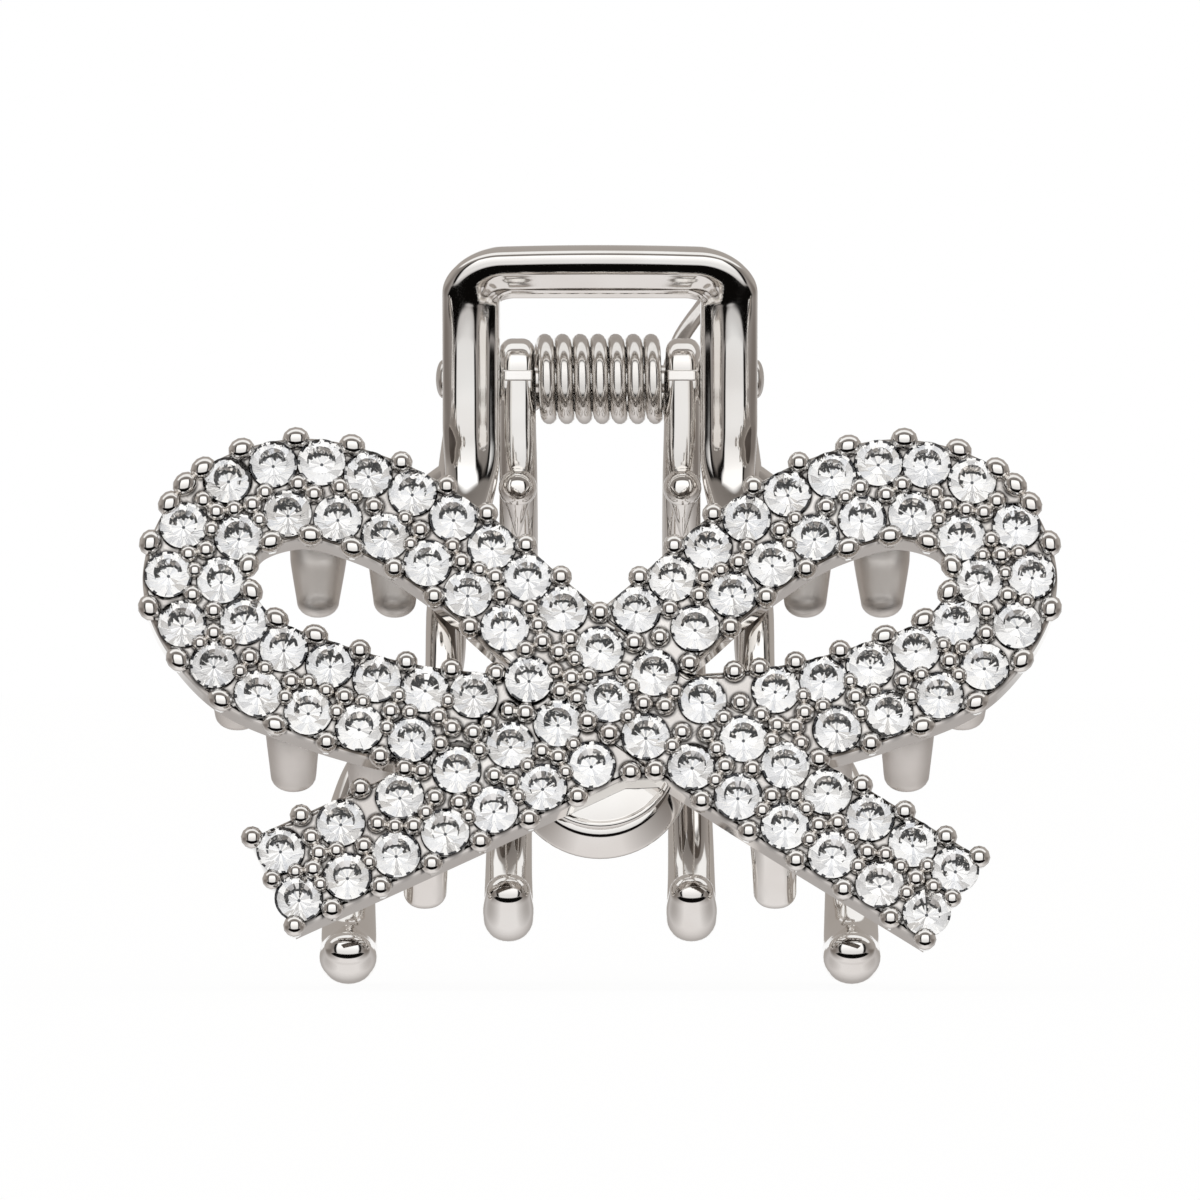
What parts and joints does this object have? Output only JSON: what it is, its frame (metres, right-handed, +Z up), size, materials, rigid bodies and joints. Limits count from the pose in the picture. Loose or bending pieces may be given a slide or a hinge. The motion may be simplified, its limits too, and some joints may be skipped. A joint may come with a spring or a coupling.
{
  "type": "claw hair clip",
  "caption": "Metal claw hair clip with two sprung jaws on a hinge pin and a ribbon bow set with round rhinestones on its front jaw",
  "frame": {"origin": "middle of the hair space between the jaws, straight below the hinge axis", "axes": "+X to the right across the bow, +Y from the bow to the back jaw, +Z up to the handles"},
  "size_m": [0.0459, 0.0252, 0.0372],
  "materials": {
    "plated_zinc": "die-cast zinc alloy, polished and plated bright silver",
    "polished_steel": "bright drawn steel wire and pin, plated",
    "rhinestone_glass": "clear cut glass with a mirror foil behind the pavilion"
  },
  "bodies": {
    "front": {"bow_setting": "plated_zinc", "front_jaw": "plated_zinc", "hinge_pin": "polished_steel", "mounting_disc": "plated_zinc", "stone_crossing_1": "rhinestone_glass", "stone_crossing_2": "rhinestone_glass", "stone_crossing_3": "rhinestone_glass", "stone_crossing_4": "rhinestone_glass", "stone_crossing_5": "rhinestone_glass", "stone_left_tail_lower_1": "rhinestone_glass", "stone_left_tail_lower_2": "rhinestone_glass", "stone_left_tail_lower_3": "rhinestone_glass", "stone_left_tail_lower_4": "rhinestone_glass", "stone_left_tail_lower_5": "rhinestone_glass", "stone_left_tail_lower_6": "rhinestone_glass", "stone_left_tail_lower_7": "rhinestone_glass", "stone_left_tail_upper_1": "rhinestone_glass", "stone_left_tail_upper_2": "rhinestone_glass", "stone_left_tail_upper_3": "rhinestone_glass", "stone_left_tail_upper_4": "rhinestone_glass", "stone_left_tail_upper_5": "rhinestone_glass", "stone_left_tail_upper_6": "rhinestone_glass", "stone_right_tail_lower_1": "rhinestone_glass", "stone_right_tail_lower_2": "rhinestone_glass", "stone_right_tail_lower_3": "rhinestone_glass", "stone_right_tail_lower_4": "rhinestone_glass", "stone_right_tail_lower_5": "rhinestone_glass", "stone_right_tail_lower_6": "rhinestone_glass", "stone_right_tail_lower_7": "rhinestone_glass", "stone_right_tail_upper_1": "rhinestone_glass", "stone_right_tail_upper_2": "rhinestone_glass", "stone_right_tail_upper_3": "rhinestone_glass", "stone_right_tail_upper_4": "rhinestone_glass", "stone_right_tail_upper_5": "rhinestone_glass", "stone_right_tail_upper_6": "rhinestone_glass", "stones_left_loop_inner_lower": "rhinestone_glass", "stones_left_loop_inner_upper": "rhinestone_glass", "stones_left_loop_outer_lower": "rhinestone_glass", "stones_left_loop_outer_upper": "rhinestone_glass", "stones_right_loop_inner_lower": "rhinestone_glass", "stones_right_loop_inner_upper": "rhinestone_glass", "stones_right_loop_outer_lower": "rhinestone_glass", "stones_right_loop_outer_upper": "rhinestone_glass", "torsion_spring": "polished_steel"},
    "back": {"back_jaw": "plated_zinc"}
  },
  "joints": [
    {"name": "jaw_hinge", "type": "hinge", "parent": "front", "child": "back", "pos_m": [0, 0, 0.015], "axis": [1, 0, 0], "range_deg": [0, 35], "stiffness_Nm_per_rad": 0.05, "springref_deg": -49.85, "deforming": ["torsion_spring"]}
  ]
}
